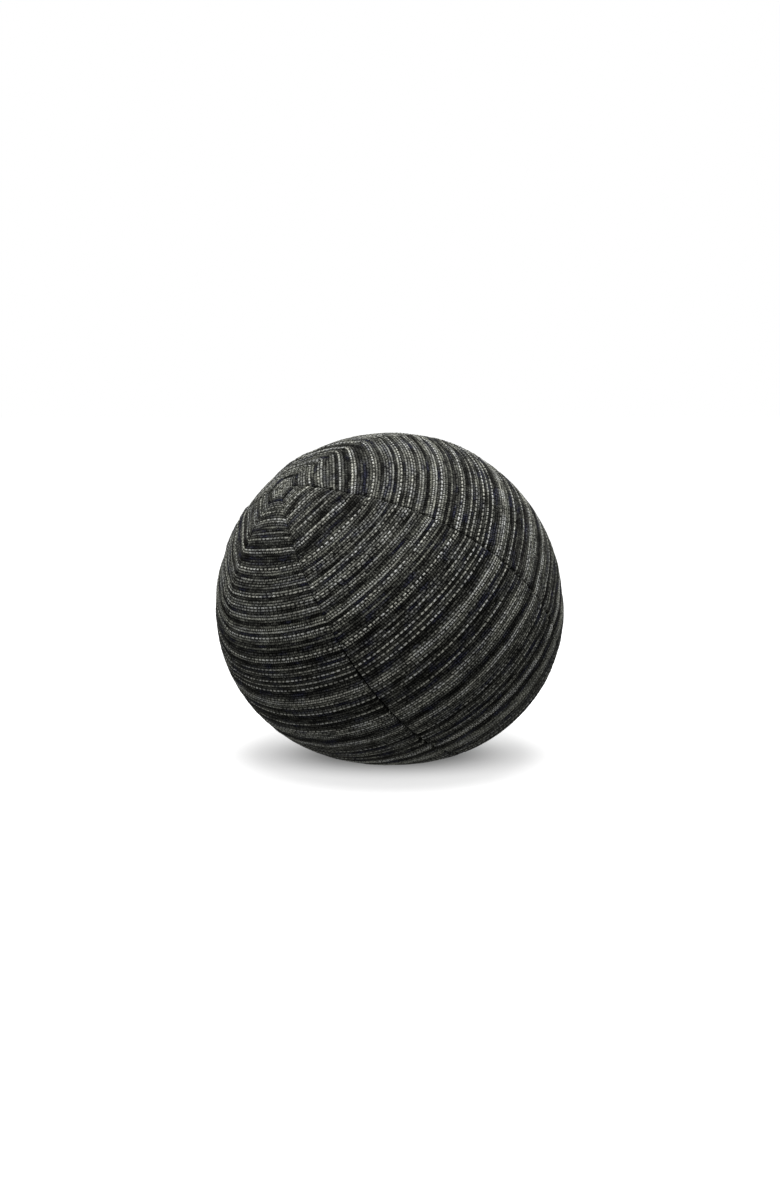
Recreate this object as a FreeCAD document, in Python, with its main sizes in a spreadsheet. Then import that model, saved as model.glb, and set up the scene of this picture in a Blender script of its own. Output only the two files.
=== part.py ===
"""Ball cushion: a striped woven cover of six sewn gores, with a concealed zip, over a filled inner pad.

Frame: the origin is the centre of the flattened patch that the cushion rests on, +Z is up and -Y is
the front. The gores meet at two poles, and the axis through the poles is tilted away from +Z.
Lengths are in millimetres and angles in degrees.
"""
import FreeCAD, Part
import math
import os

import Sketcher
from FreeCAD import Vector

doc = FreeCAD.newDocument("ball_cushion")

# ---------------------------------------------------------------- driving dimensions

DIMENSIONS = [
    ("ball_radius", 127.0, "outer radius of the ball, a 10 inch cushion"),
    ("centre_height", 112.5, "height of the ball's centre above what it rests on"),
    ("shoulder_radius", 110.0, "radius of the bulge between the side and the rest patch"),
    ("fabric_thick", 1.4, "thickness of the woven cover"),
    ("fold_width", 10.0, "seam allowance folded flat inside each gore"),
    ("gore_angle", 60.0, "angle of one gore about the polar axis"),
    ("pole_tilt", 47.7, "angle between the polar axis and +Z"),
    ("pole_heading", 218.4, "heading of the upper pole about +Z, from +X"),
    ("zip_seam_turn", 45.1, "turn of the zip seam about the polar axis"),
    ("cut_margin", 12.0, "reach of cutting tools beyond the ball"),
    ("thread_width", 0.6, "width of a seam's thread line"),
    ("thread_thick", 0.3, "height of a seam's thread line"),
    ("thread_start", 1.5, "distance of a thread line's end from the polar axis"),
    ("pad_depth", 3.6, "depth of the inner pad's outer face below the ball's surface"),
    ("liner_thick", 0.5, "thickness of the pad's lining cloth"),
    ("liner_thread_thick", 0.2, "height of the thread line inside the lining"),
    ("liner_turn", 30.0, "turn of the lining's seams from the cover's seams"),
    ("zip_centre_up", 6.3, "centre of the zip's arc, along the polar axis from the ball's centre"),
    ("zip_centre_out", -1.6, "centre of the zip's arc, across the polar axis"),
    ("zip_radius", 126.7, "radius of the arc that the zipped part of the seam follows"),
    ("zip_first_turn", -28.0, "turn at which the zip's opening starts"),
    ("zip_last_turn", 75.0, "turn at which the zip's opening ends"),
    ("tape_overrun", 1.2, "turn by which the tapes pass the opening at each end"),
    ("bay_overrun", 2.4, "turn by which the pad's channel passes the opening at each end"),
    ("bay_half_width", 11.0, "half width of the channel in the pad behind the zip"),
    ("bay_depth", 10.7, "depth of the pad's channel below the zip's arc"),
    ("slit_width", 1.4, "gap between the two folded edges along the zip"),
    ("slit_depth", 6.0, "reach of the slit's cut below the zip's arc"),
    ("tape_gap", 1.4, "gap between the two zip tapes"),
    ("tape_width", 9.0, "width of one zip tape"),
    ("tape_depth", 5.6, "depth of a tape's outer face below the zip's arc"),
    ("tape_thick", 0.5, "thickness of a zip tape"),
    ("stitch_offset", 6.5, "distance of a tape's stitching from the middle of the zip"),
    ("stitch_width", 0.5, "width of a line of tape stitching"),
    ("teeth_pitch", 0.86, "turn from one tooth of a row to the next"),
    ("teeth_length", 1.75, "length of a tooth across the zip"),
    ("teeth_height", 2.0, "height of a tooth, square to the tape"),
    ("teeth_thick", 0.95, "thickness of a tooth along the zip"),
    ("teeth_round", 0.4, "rounding of a tooth's head"),
    ("stop_turn", 1.2, "length of a zip stop, as a turn"),
    ("stop_width", 1.9, "width of one zip stop"),
    ("slider_turn", 71.5, "turn at which the slider stands when the zip is closed"),
    ("slider_half_turn", 2.0, "half the length of the slider, as a turn"),
    ("slider_half_width", 3.9, "half the width of the slider"),
    ("slider_back_depth", 10.1, "depth of the slider's back below the zip's arc"),
    ("slider_plate", 1.5, "thickness of the slider's back plate"),
    ("flange_width", 1.0, "thickness of a slider's side flange"),
    ("flange_depth", 6.45, "depth of a flange's edge below the zip's arc"),
    ("neck_thick", 0.8, "thickness of the slider's neck, which passes through the slit"),
    ("pin_height", 2.7, "height of the pull tab's pivot above the zip's arc"),
    ("bail_radius", 1.8, "outer radius of the slider's bail"),
    ("bail_hole_radius", 0.85, "radius of the bail's hole"),
    ("bar_radius", 0.5, "radius of the pull tab's cross bar"),
    ("pull_length", 14.0, "length of the pull tab from its pivot"),
    ("pull_half_width", 2.6, "half the width of the pull tab"),
    ("pull_thick", 1.0, "thickness of the pull tab"),
    ("window_length", 3.2, "length of the pull tab's window"),
    ("window_half_width", 1.1, "half the width of the pull tab's window"),
    ("grip_hole_radius", 1.0, "radius of the hole in the pull tab's end"),
    ("label_width", 25.0, "width of the care label"),
    ("label_height", 38.0, "height of the care label"),
    ("label_depth", 2.95, "depth of the care label's outer face below the ball's surface"),
    ("label_thick", 0.4, "thickness of the folded care label"),
    ("label_offset", 0.6, "distance of the care label from its seam"),
    ("label_colatitude", 100.0, "angle of the care label from the upper pole"),
]

sheet = doc.addObject("Spreadsheet::Sheet", "Dims")
for row, (alias, value, meaning) in enumerate(DIMENSIONS, start=1):
    sheet.set(f"A{row}", str(value))
    sheet.setAlias(f"A{row}", alias)
    sheet.set(f"B{row}", meaning)
doc.recompute()


def dim(alias):
    """Read one driving dimension."""
    return float(sheet.get(alias))


# ---------------------------------------------------------------- placements, as expressions

GORE_COUNT = round(360.0 / dim("gore_angle"))
CENTRE = "vector(0; 0; Dims.centre_height)"
POLAR = (
    "rotation(vector(0; 0; 1); Dims.pole_heading) * rotation(vector(0; 1; 0); Dims.pole_tilt)"
)
REACH = "(Dims.ball_radius + Dims.cut_margin)"


def seam_frame(turn, offset="vector(0; 0; 0)", then=""):
    """Placement at the ball's centre: Z along the polar axis, X towards the seam at this turn."""
    spin = f"rotation(vector(0; 0; 1); {turn})"
    return f"placement({CENTRE}; {POLAR} * {spin}) * placement({offset}; rotation(vector(0; 0; 1); 0)){then}"


def zip_frame(turn, offset="vector(0; 0; 0)", then=""):
    """Placement at the centre of the zip's arc: Z square to the zip's plane, X towards this turn."""
    arc_centre = "vector(Dims.zip_centre_out; 0; Dims.zip_centre_up)"
    lay_down = f" * placement({arc_centre}; rotation(vector(1; 0; 0); -90))"
    to_turn = f" * placement(vector(0; 0; 0); rotation(vector(0; 0; 1); {turn}))"
    shift = f" * placement({offset}; rotation(vector(0; 0; 1); 0))"
    return seam_frame("Dims.zip_seam_turn", then=lay_down + to_turn + shift + then)


# ---------------------------------------------------------------- building blocks

def bind(item, **expressions):
    """Bind properties of an object to the driving dimensions."""
    for name, expression in expressions.items():
        item.setExpression(name, expression)
    return item


def add_box(name, length, width, height, place):
    box = doc.addObject("Part::Box", name)
    return bind(box, Length=length, Width=width, Height=height, Placement=place)


def add_cylinder(name, radius, height, angle, place):
    cylinder = doc.addObject("Part::Cylinder", name)
    return bind(cylinder, Radius=radius, Height=height, Angle=angle, Placement=place)


def add_cut(name, base, tool):
    result = doc.addObject("Part::Cut", name)
    result.Base = base
    result.Tool = tool
    return result


def add_common(name, base, tool):
    result = doc.addObject("Part::Common", name)
    result.Base = base
    result.Tool = tool
    return result


def add_fusion(name, shapes):
    result = doc.addObject("Part::MultiFuse", name)
    result.Shapes = shapes
    return result


def origin_plane(body, role):
    return next(plane for plane in body.Origin.OriginFeatures if plane.Role == role)


def add_ball(name, layers=()):
    """Solid of the cushion's outline, these layers' thicknesses inside its outer surface all over.

    The outline is a flat bottom, a shoulder arc tangent to it and the main arc tangent to that,
    turned about Z. Both arcs keep their centres at every depth.
    """
    less_depth = "".join(f" - Dims.{layer}" for layer in layers)
    depth = sum(dim(layer) for layer in layers)
    centre_height = dim("centre_height")
    main_radius = dim("ball_radius") - depth
    bulge_radius = dim("shoulder_radius") - depth
    drop = centre_height - dim("shoulder_radius")
    patch_radius = math.sqrt((main_radius - bulge_radius) ** 2 - drop ** 2)
    meeting = math.atan2(-drop, patch_radius)
    bulge_centre = Vector(patch_radius, dim("shoulder_radius"), 0)
    main_centre = Vector(0, centre_height, 0)
    up = Vector(0, 0, 1)
    middle = Vector(0, depth, 0)
    top = Vector(0, centre_height + main_radius, 0)
    patch_edge = Vector(patch_radius, depth, 0)

    body = doc.addObject("PartDesign::Body", name)
    sketch = body.newObject("Sketcher::SketchObject", name + "_outline")
    sketch.AttachmentSupport = (origin_plane(body, "XZ_Plane"), [""])
    sketch.MapMode = "FlatFace"
    bulge_arc = Part.ArcOfCircle(Part.Circle(bulge_centre, up, bulge_radius), -math.pi / 2, meeting)
    main_arc = Part.ArcOfCircle(Part.Circle(main_centre, up, main_radius), meeting, math.pi / 2)
    bottom = sketch.addGeometry(Part.LineSegment(middle, patch_edge))
    bulge = sketch.addGeometry(bulge_arc)
    main = sketch.addGeometry(main_arc)
    axis_line = sketch.addGeometry(Part.LineSegment(top, middle))
    relations = [
        ("Tangent", bottom, 2, bulge, 1),
        ("Tangent", bulge, 2, main, 1),
        ("Coincident", main, 2, axis_line, 1),
        ("Coincident", axis_line, 2, bottom, 1),
        ("Horizontal", bottom),
        ("PointOnObject", axis_line, 1, -2),
        ("PointOnObject", axis_line, 2, -2),
        ("PointOnObject", main, 3, -2),
    ]
    for relation in relations:
        sketch.addConstraint(Sketcher.Constraint(*relation))
    sizes = [
        (("Radius", bulge, bulge_radius), "Dims.shoulder_radius" + less_depth),
        (("Radius", main, main_radius), "Dims.ball_radius" + less_depth),
        (("DistanceY", -1, 1, bulge, 3, bulge_centre.y), "Dims.shoulder_radius"),
        (("DistanceY", -1, 1, main, 3, main_centre.y), "Dims.centre_height"),
    ]
    for size, expression in sizes:
        index = sketch.addConstraint(Sketcher.Constraint(*size))
        sketch.setExpression(f"Constraints[{index}]", expression)
    turned = body.newObject("PartDesign::Revolution", name + "_turned")
    turned.Profile = sketch
    turned.ReferenceAxis = (sketch, ["V_Axis"])
    turned.Angle = 360.0
    return body


def add_gore_sector(name, turn):
    """Wedge of one gore's angle, from the seam at this turn to the next seam."""
    down = f"vector(0; 0; -{REACH})"
    return add_cylinder(name, REACH, f"2 * {REACH}", "Dims.gore_angle", seam_frame(turn, down))


def add_seam_slabs(name, width, first_turn):
    """Slabs of this width along all the seam planes, which cross on the polar axis."""
    offset = f"vector(-{REACH}; -{width} / 2; -{REACH})"
    slabs = []
    for index in range(GORE_COUNT // 2):
        turn = f"{first_turn} + {index} * Dims.gore_angle"
        place = seam_frame(turn, offset)
        slabs.append(add_box(f"{name}_{index + 1}", f"2 * {REACH}", width, f"2 * {REACH}", place))
    return add_fusion(name, slabs)


def add_zip_sector(name, inner, outer, low, high, first, last):
    """Block bent along the zip: between two radii, two distances across it and two turns."""
    offset = f"vector(0; 0; {low})"
    place = zip_frame(first, offset)
    width = f"{high} - ({low})"
    whole = add_cylinder(name + "_outer", outer, width, f"{last} - ({first})", place)
    core = add_cylinder(name + "_core", inner, width, "360", place)
    return add_cut(name, whole, core)


SIDES = [("left", -1), ("right", 1)]


def add_side_sector(name, side, inner, outer, near, far, first, last):
    """Bent block on one side of the zip, between two distances from its middle."""
    low, high = (near, far) if side > 0 else (f"-({far})", f"-({near})")
    return add_zip_sector(name, inner, outer, low, high, first, last)


# ---------------------------------------------------------------- cover: six gores and their seams

ZIP_FIRST = "Dims.zip_first_turn"
ZIP_LAST = "Dims.zip_last_turn"
ARC = "Dims.zip_radius"

outer_ball = add_ball("outer_ball")
cloth_inside = add_ball("cloth_inside", ["fabric_thick"])
folds_inside = add_ball("folds_inside", ["fabric_thick", "fabric_thick"])
threads_inside = add_ball("threads_inside", ["fabric_thick", "fabric_thick", "thread_thick"])

cloth = add_cut("cloth", outer_ball, cloth_inside)
fold_layer = add_cut("fold_layer", cloth_inside, folds_inside)
fold_slabs = add_seam_slabs("fold_slabs", "2 * Dims.fold_width", "Dims.zip_seam_turn")
folds = add_common("folds", fold_layer, fold_slabs)
sewn_cover = add_fusion("sewn_cover", [cloth, folds])
slit = add_zip_sector(
    "slit", f"{ARC} - Dims.slit_depth", f"{ARC} + Dims.cut_margin",
    "-Dims.slit_width / 2", "Dims.slit_width / 2", ZIP_FIRST, ZIP_LAST)
open_cover = add_cut("open_cover", sewn_cover, slit)

nodes = []
for index in range(GORE_COUNT):
    turn = f"Dims.zip_seam_turn + {index} * Dims.gore_angle"
    sector = add_gore_sector(f"cover_sector_{index + 1}", turn)
    nodes.append(add_common(f"cover_gore_{index + 1}", open_cover, sector))


def add_zip_bay(name, extra):
    """Channel behind the zip, this much larger all round than the pad's own channel."""
    reach = f"Dims.bay_overrun + {extra} / {ARC} * 180 / pi"
    return add_zip_sector(
        name, f"{ARC} - Dims.bay_depth - {extra}", f"{ARC} + Dims.cut_margin",
        f"-Dims.bay_half_width - {extra}", f"Dims.bay_half_width + {extra}",
        f"{ZIP_FIRST} - ({reach})", f"{ZIP_LAST} + {reach}")


pad_bay = add_zip_bay("pad_bay", "0")
thread_layer = add_cut("thread_layer", folds_inside, threads_inside)
open_thread_layer = add_cut("open_thread_layer", thread_layer, pad_bay)
for index in range(GORE_COUNT):
    turn = f"Dims.zip_seam_turn + {index} * Dims.gore_angle"
    offset = f"vector(Dims.thread_start; -Dims.thread_width / 2; -{REACH})"
    place = seam_frame(turn, offset)
    strip = add_box(f"thread_strip_{index + 1}", REACH, "Dims.thread_width", f"2 * {REACH}", place)
    layer = open_thread_layer if index == 0 else thread_layer
    nodes.append(add_common(f"seam_thread_{index + 1}", layer, strip))

# ---------------------------------------------------------------- inner pad: lining and filling

lining_depth = ["pad_depth", "liner_thick"]
filling_depth = lining_depth + ["liner_thread_thick"]
pad_ball = add_ball("pad_ball", ["pad_depth"])
lining_inside = add_ball("lining_inside", lining_depth)
filling_ball = add_ball("filling_ball", filling_depth)
lining_bay = add_zip_bay("lining_bay", "Dims.liner_thick")
filling_bay = add_zip_bay("filling_bay", "(Dims.liner_thick + Dims.liner_thread_thick)")

pad_outside = add_cut("pad_outside", pad_ball, pad_bay)
lining_hollow = add_cut("lining_hollow", lining_inside, lining_bay)
lining = add_cut("lining", pad_outside, lining_hollow)
filling = add_cut("fibre_filling", filling_ball, filling_bay)

for index in range(GORE_COUNT):
    turn = f"Dims.zip_seam_turn + Dims.liner_turn + {index} * Dims.gore_angle"
    sector = add_gore_sector(f"liner_sector_{index + 1}", turn)
    nodes.append(add_common(f"liner_gore_{index + 1}", lining, sector))

liner_first_turn = "Dims.zip_seam_turn + Dims.liner_turn"
liner_thread_slabs = add_seam_slabs("liner_thread_slabs", "Dims.thread_width", liner_first_turn)
liner_thread_layer = add_cut("liner_thread_layer", lining_hollow, filling)
nodes.append(add_common("liner_seam_threads", liner_thread_layer, liner_thread_slabs))
nodes.append(filling)

# ---------------------------------------------------------------- care label, blank, in a rear seam

label_seam = f"Dims.zip_seam_turn + {GORE_COUNT // 2} * Dims.gore_angle"
label_offset = "vector(-Dims.label_height / 2; Dims.label_offset; 0)"
label_turn = " * placement(vector(0; 0; 0); rotation(vector(0; 1; 0); Dims.label_colatitude))"
label_shift = f" * placement({label_offset}; rotation(vector(0; 0; 1); 0))"
label_place = seam_frame(label_seam, then=label_turn + label_shift)
label_column = add_box("label_column", "Dims.label_height", "Dims.label_width", REACH, label_place)
label_outside = add_ball("label_outside", ["label_depth"])
label_inside = add_ball("label_inside", ["label_depth", "label_thick"])
label_layer = add_cut("label_layer", label_outside, label_inside)
nodes.append(add_common("care_label", label_layer, label_column))

# ---------------------------------------------------------------- zip: tapes, stitching and teeth

tape_outside = f"{ARC} - Dims.tape_depth"
tape_inside = f"{ARC} - Dims.tape_depth - Dims.tape_thick"
stitch_inside = f"{tape_inside} - Dims.thread_thick"
tape_first = f"{ZIP_FIRST} - Dims.tape_overrun"
tape_last = f"{ZIP_LAST} + Dims.tape_overrun"
for name, side in SIDES:
    nodes.append(add_side_sector(
        f"zip_tape_{name}", side, tape_inside, tape_outside,
        "Dims.tape_gap / 2", "Dims.tape_gap / 2 + Dims.tape_width", tape_first, tape_last))
    nodes.append(add_side_sector(
        f"zip_stitching_{name}", side, stitch_inside, tape_inside,
        "Dims.stitch_offset", "Dims.stitch_offset + Dims.stitch_width", ZIP_FIRST, ZIP_LAST))


def make_tooth(side):
    """One tooth at turn 0, a bar across the zip with its head rounded, next to the middle."""
    near = dim("tape_gap") / 2
    length = dim("teeth_length")
    height = dim("teeth_height")
    thick = dim("teeth_thick")
    outside = dim("zip_radius") - dim("tape_depth") - dim("tape_thick")
    low = near if side > 0 else -near - length
    tooth = Part.makeBox(height, thick, length, Vector(outside - height, -thick / 2, low))
    head = near * side
    head_edges = [
        edge for edge in tooth.Edges
        if abs(edge.CenterOfMass.z - head) < 1e-6 and abs(edge.CenterOfMass.y) > thick / 4
    ]
    return tooth.makeFillet(dim("teeth_round"), head_edges)


def make_teeth(side):
    """A row of separate teeth between the stops, the two rows half a pitch out of step."""
    pitch = dim("teeth_pitch")
    first = dim("zip_first_turn") + dim("stop_turn") + pitch
    last = dim("zip_last_turn") - dim("stop_turn") - pitch
    if side > 0:
        first += pitch / 2
    count = int((last - first) / pitch) + 1
    tooth = make_tooth(side)
    row = []
    for index in range(count):
        copy = tooth.copy()
        copy.rotate(Vector(0, 0, 0), Vector(0, 0, 1), first + index * pitch)
        row.append(copy)
    return Part.makeCompound(row)


for name, side in SIDES:
    teeth = doc.addObject("Part::Feature", f"zip_teeth_{name}")
    teeth.Shape = make_teeth(side)
    nodes.append(bind(teeth, Placement=zip_frame("0")))

stop_inside = f"{tape_inside} - Dims.teeth_height"
closed_stops = []
for name, side in SIDES:
    closed_stops.append(add_side_sector(
        f"closed_stop_{name}", side, stop_inside, tape_inside,
        "Dims.tape_gap / 2", "Dims.tape_gap / 2 + Dims.stop_width",
        f"{ZIP_LAST} - Dims.stop_turn", ZIP_LAST))
closed_stop_pair = doc.addObject("Part::Compound", "zip_closed_stops")
closed_stop_pair.Links = closed_stops
nodes.append(closed_stop_pair)
nodes.append(add_zip_sector(
    "zip_open_stop", stop_inside, tape_inside,
    "-Dims.tape_gap / 2 - Dims.stop_width", "Dims.tape_gap / 2 + Dims.stop_width",
    ZIP_FIRST, f"{ZIP_FIRST} + Dims.stop_turn"))

# ---------------------------------------------------------------- zip slider and its pull tab

slider_first = "Dims.slider_turn - Dims.slider_half_turn"
slider_last = "Dims.slider_turn + Dims.slider_half_turn"
slider_back = f"{ARC} - Dims.slider_back_depth"
plate_front = f"{slider_back} + Dims.slider_plate"
pin_radius = f"{ARC} + Dims.pin_height"
neck_half_turn = f"Dims.bail_radius / {ARC} * 180 / pi"
neck_low = "-Dims.neck_thick / 2"
neck_high = "Dims.neck_thick / 2"

slider_parts = [add_zip_sector(
    "slider_plate", slider_back, plate_front,
    "-Dims.slider_half_width", "Dims.slider_half_width", slider_first, slider_last)]
for name, side in SIDES:
    slider_parts.append(add_side_sector(
        f"slider_flange_{name}", side, plate_front, f"{ARC} - Dims.flange_depth",
        "Dims.slider_half_width - Dims.flange_width", "Dims.slider_half_width",
        slider_first, slider_last))
slider_parts.append(add_zip_sector(
    "slider_neck", plate_front, pin_radius, neck_low, neck_high,
    f"Dims.slider_turn - {neck_half_turn}", f"Dims.slider_turn + {neck_half_turn}"))
bail_place = zip_frame("Dims.slider_turn", f"vector({pin_radius}; 0; {neck_low})")
slider_parts.append(add_cylinder("slider_bail", "Dims.bail_radius", "Dims.neck_thick", "360", bail_place))
solid_slider = add_fusion("solid_slider", slider_parts)
bail_hole = add_cylinder("bail_hole", "Dims.bail_hole_radius", "Dims.neck_thick", "360", bail_place)
nodes.append(add_cut("zip_slider", solid_slider, bail_hole))


def add_pull_plate(name):
    """Flat of the pull tab: X along it, Y along its pivot, a round end and a window for the bail."""
    length = dim("pull_length")
    half = dim("pull_half_width")
    window = dim("window_length")
    window_half = dim("window_half_width")
    round_centre = length - half
    corners = [
        Vector(round_centre, -half, 0), Vector(0, -half, 0), Vector(0, -window_half, 0),
        Vector(window, -window_half, 0), Vector(window, window_half, 0), Vector(0, window_half, 0),
        Vector(0, half, 0), Vector(round_centre, half, 0),
    ]
    body = doc.addObject("PartDesign::Body", name)
    sketch = body.newObject("Sketcher::SketchObject", name + "_outline")
    sketch.AttachmentSupport = (origin_plane(body, "XY_Plane"), [""])
    sketch.MapMode = "FlatFace"
    lines = [
        sketch.addGeometry(Part.LineSegment(start, end)) for start, end in zip(corners, corners[1:])
    ]
    end_circle = Part.Circle(Vector(round_centre, 0, 0), Vector(0, 0, 1), half)
    end_arc = sketch.addGeometry(Part.ArcOfCircle(end_circle, -math.pi / 2, math.pi / 2))
    grip_circle = Part.Circle(Vector(round_centre, 0, 0), Vector(0, 0, 1), dim("grip_hole_radius"))
    grip_hole = sketch.addGeometry(grip_circle)
    for index, line in enumerate(lines[1:], start=1):
        sketch.addConstraint(Sketcher.Constraint("Coincident", lines[index - 1], 2, line, 1))
    for index, line in enumerate(lines):
        direction = "Vertical" if index in (1, 3, 5) else "Horizontal"
        sketch.addConstraint(Sketcher.Constraint(direction, line))
    sketch.addConstraint(Sketcher.Constraint("Tangent", lines[-1], 2, end_arc, 2))
    sketch.addConstraint(Sketcher.Constraint("Tangent", lines[0], 1, end_arc, 1))
    sketch.addConstraint(Sketcher.Constraint("PointOnObject", end_arc, 3, -1))
    sketch.addConstraint(Sketcher.Constraint("Coincident", grip_hole, 3, end_arc, 3))
    sketch.addConstraint(Sketcher.Constraint("PointOnObject", lines[1], 1, -2))
    sketch.addConstraint(Sketcher.Constraint("PointOnObject", lines[5], 1, -2))
    sizes = [
        (("Radius", end_arc, half), "Dims.pull_half_width"),
        (("Radius", grip_hole, dim("grip_hole_radius")), "Dims.grip_hole_radius"),
        (("DistanceX", -1, 1, end_arc, 3, round_centre), "Dims.pull_length - Dims.pull_half_width"),
        (("DistanceX", -1, 1, lines[2], 2, window), "Dims.window_length"),
        (("DistanceY", lines[3], 1, -1, 1, window_half), "Dims.window_half_width"),
        (("DistanceY", -1, 1, lines[3], 2, window_half), "Dims.window_half_width"),
    ]
    for size, expression in sizes:
        index = sketch.addConstraint(Sketcher.Constraint(*size))
        sketch.setExpression(f"Constraints[{index}]", expression)
    pad = body.newObject("PartDesign::Pad", name + "_pad")
    pad.Profile = sketch
    pad.SideType = "Symmetric"
    bind(pad, Length="Dims.pull_thick")
    return body


pull_plate = add_pull_plate("pull_plate")
bar_place = "placement(vector(0; -Dims.pull_half_width; 0); rotation(vector(1; 0; 0); -90))"
pull_bar = add_cylinder("pull_bar", "Dims.bar_radius", "2 * Dims.pull_half_width", "360", bar_place)
pull_tab = add_fusion("zip_pull_tab", [pull_plate, pull_bar])
along_zip = " * placement(vector(0; 0; 0); rotation(vector(1; 1; 1); 120))"
bind(pull_tab, Placement=zip_frame("Dims.slider_turn", f"vector({pin_radius}; 0; 0)", then=along_zip))
nodes.append(pull_tab)

# ---------------------------------------------------------------- check and export

doc.recompute()
for item in doc.Objects:
    failed = {"Invalid", "Error"} & set(item.State)
    if failed:
        raise RuntimeError(f"{item.Name} did not compute: {item.State}")

os.makedirs("parts", exist_ok=True)
for node in nodes:
    node.Label = node.Name
    shape = node.Shape
    if shape.isNull() or not shape.isValid() or not shape.Solids:
        raise RuntimeError(f"{node.Name} has no valid solid")
    shape.exportStep(f"parts/{node.Label}.step")
    print(f"{node.Label}: {len(shape.Solids)} solids, {shape.Volume / 1000:.3f} cm3, {shape.BoundBox}")
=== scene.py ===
"""The ball cushion's looks: six sewn gores of striped tweed, a concealed zip, lining and filling."""

import math

import bpy
import numpy as np
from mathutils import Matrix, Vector


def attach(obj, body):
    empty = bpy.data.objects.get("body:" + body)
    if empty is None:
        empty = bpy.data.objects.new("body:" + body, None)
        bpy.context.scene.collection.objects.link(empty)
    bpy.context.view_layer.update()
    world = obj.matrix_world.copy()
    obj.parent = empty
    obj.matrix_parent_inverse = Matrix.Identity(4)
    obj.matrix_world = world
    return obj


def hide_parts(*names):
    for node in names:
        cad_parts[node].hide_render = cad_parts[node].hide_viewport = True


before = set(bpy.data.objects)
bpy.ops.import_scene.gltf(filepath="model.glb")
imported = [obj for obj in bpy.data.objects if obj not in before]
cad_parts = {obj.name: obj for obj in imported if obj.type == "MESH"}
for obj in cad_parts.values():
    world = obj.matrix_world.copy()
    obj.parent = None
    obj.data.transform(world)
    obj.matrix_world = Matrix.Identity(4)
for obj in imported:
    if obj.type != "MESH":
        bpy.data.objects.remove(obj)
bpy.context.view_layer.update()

# ---------------------------------------------------------------- the cushion's dimensions, in metres

MM = 0.001
BALL_RADIUS = 127.0 * MM
CENTRE_HEIGHT = 112.5 * MM
SHOULDER_RADIUS = 110.0 * MM
CENTRE = np.array([0.0, 0.0, CENTRE_HEIGHT])
GORES = 6
HALF_GORE = 180.0 / GORES              # degrees from a gore's middle to its seams
POLE_TILT, POLE_HEADING = 47.7, 218.4  # the polar axis, where the gores meet
CLOTH_TILT, CLOTH_HEADING = 46.2, 222.3  # the axis that the stripes of the pulled cloth follow
TUCK_TILT, TUCK_HEADING = 45.4, 214.0  # where the pulled cloth's gores meet
TUCK_REACH = 28.0                      # degrees from the pole over which the cloth is pulled aside
ZIP_SEAM_TURN = 45.1                   # turn of the zip seam about the polar axis
ZIP_COLATITUDES = (62.0, 165.0)        # the zip's opening, measured from the upper pole
ZIP_HALF_GAP = 0.7 * MM                # half the slit between the folded edges along the zip
SEAM_HALF_GAP = 0.32 * MM              # half the crevice of a sewn seam, at the surface
SEWN_HALF_GAP = 0.03 * MM              # where the folds press together, below the surface
FOLD_DEPTH = 2.8 * MM                  # two thicknesses of cloth at a folded seam
STRIPE_BOW = 1.5                       # degrees by which a stripe bows between its seams

PICKS = 214                            # weft yarns from pole to pole, 1.9 mm apart
ROWS_PER_PICK = 4
BEAD_PITCH = 1.9                       # millimetres, one warp pair
DASH_PITCH = 3.8                       # millimetres, two warp pairs


def axis_frame(tilt, heading):
    """Polar axis and the two directions across it, for a tilt from +Z and a heading, in degrees."""
    t, h = math.radians(tilt), math.radians(heading)
    axis = np.array([math.sin(t) * math.cos(h), math.sin(t) * math.sin(h), math.cos(t)])
    across = np.array([math.cos(t) * math.cos(h), math.cos(t) * math.sin(h), -math.sin(t)])
    return axis, across, np.cross(axis, across)


AXIS, ACROSS, ASIDE = axis_frame(POLE_TILT, POLE_HEADING)
CLOTH_AXIS = axis_frame(CLOTH_TILT, CLOTH_HEADING)[0]
TUCK_AXIS = axis_frame(TUCK_TILT, TUCK_HEADING)[0]


def smooth(value, low, high):
    """0 below low, 1 above high, smooth between."""
    t = np.clip((value - low) / (high - low), 0.0, 1.0)
    return t * t * (3.0 - 2.0 * t)


def unit(vectors):
    """The vectors at length 1."""
    return vectors / np.linalg.norm(vectors, axis=-1, keepdims=True)


def polar_directions(colatitude, turn):
    """Unit vectors from the ball's centre, from angles in degrees about the polar axis."""
    c, t = np.radians(colatitude), np.radians(turn)
    flat = np.cos(t)[..., None] * ACROSS + np.sin(t)[..., None] * ASIDE
    return np.cos(c)[..., None] * AXIS + np.sin(c)[..., None] * flat


def directions(colatitude, turn):
    """Unit vectors to the cover, whose gores are pulled aside to meet on the tuck's axis."""
    pull = (1.0 - smooth(colatitude, 0.0, TUCK_REACH))[..., None]
    return unit(polar_directions(colatitude, turn) + pull * (TUCK_AXIS - AXIS))


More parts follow.
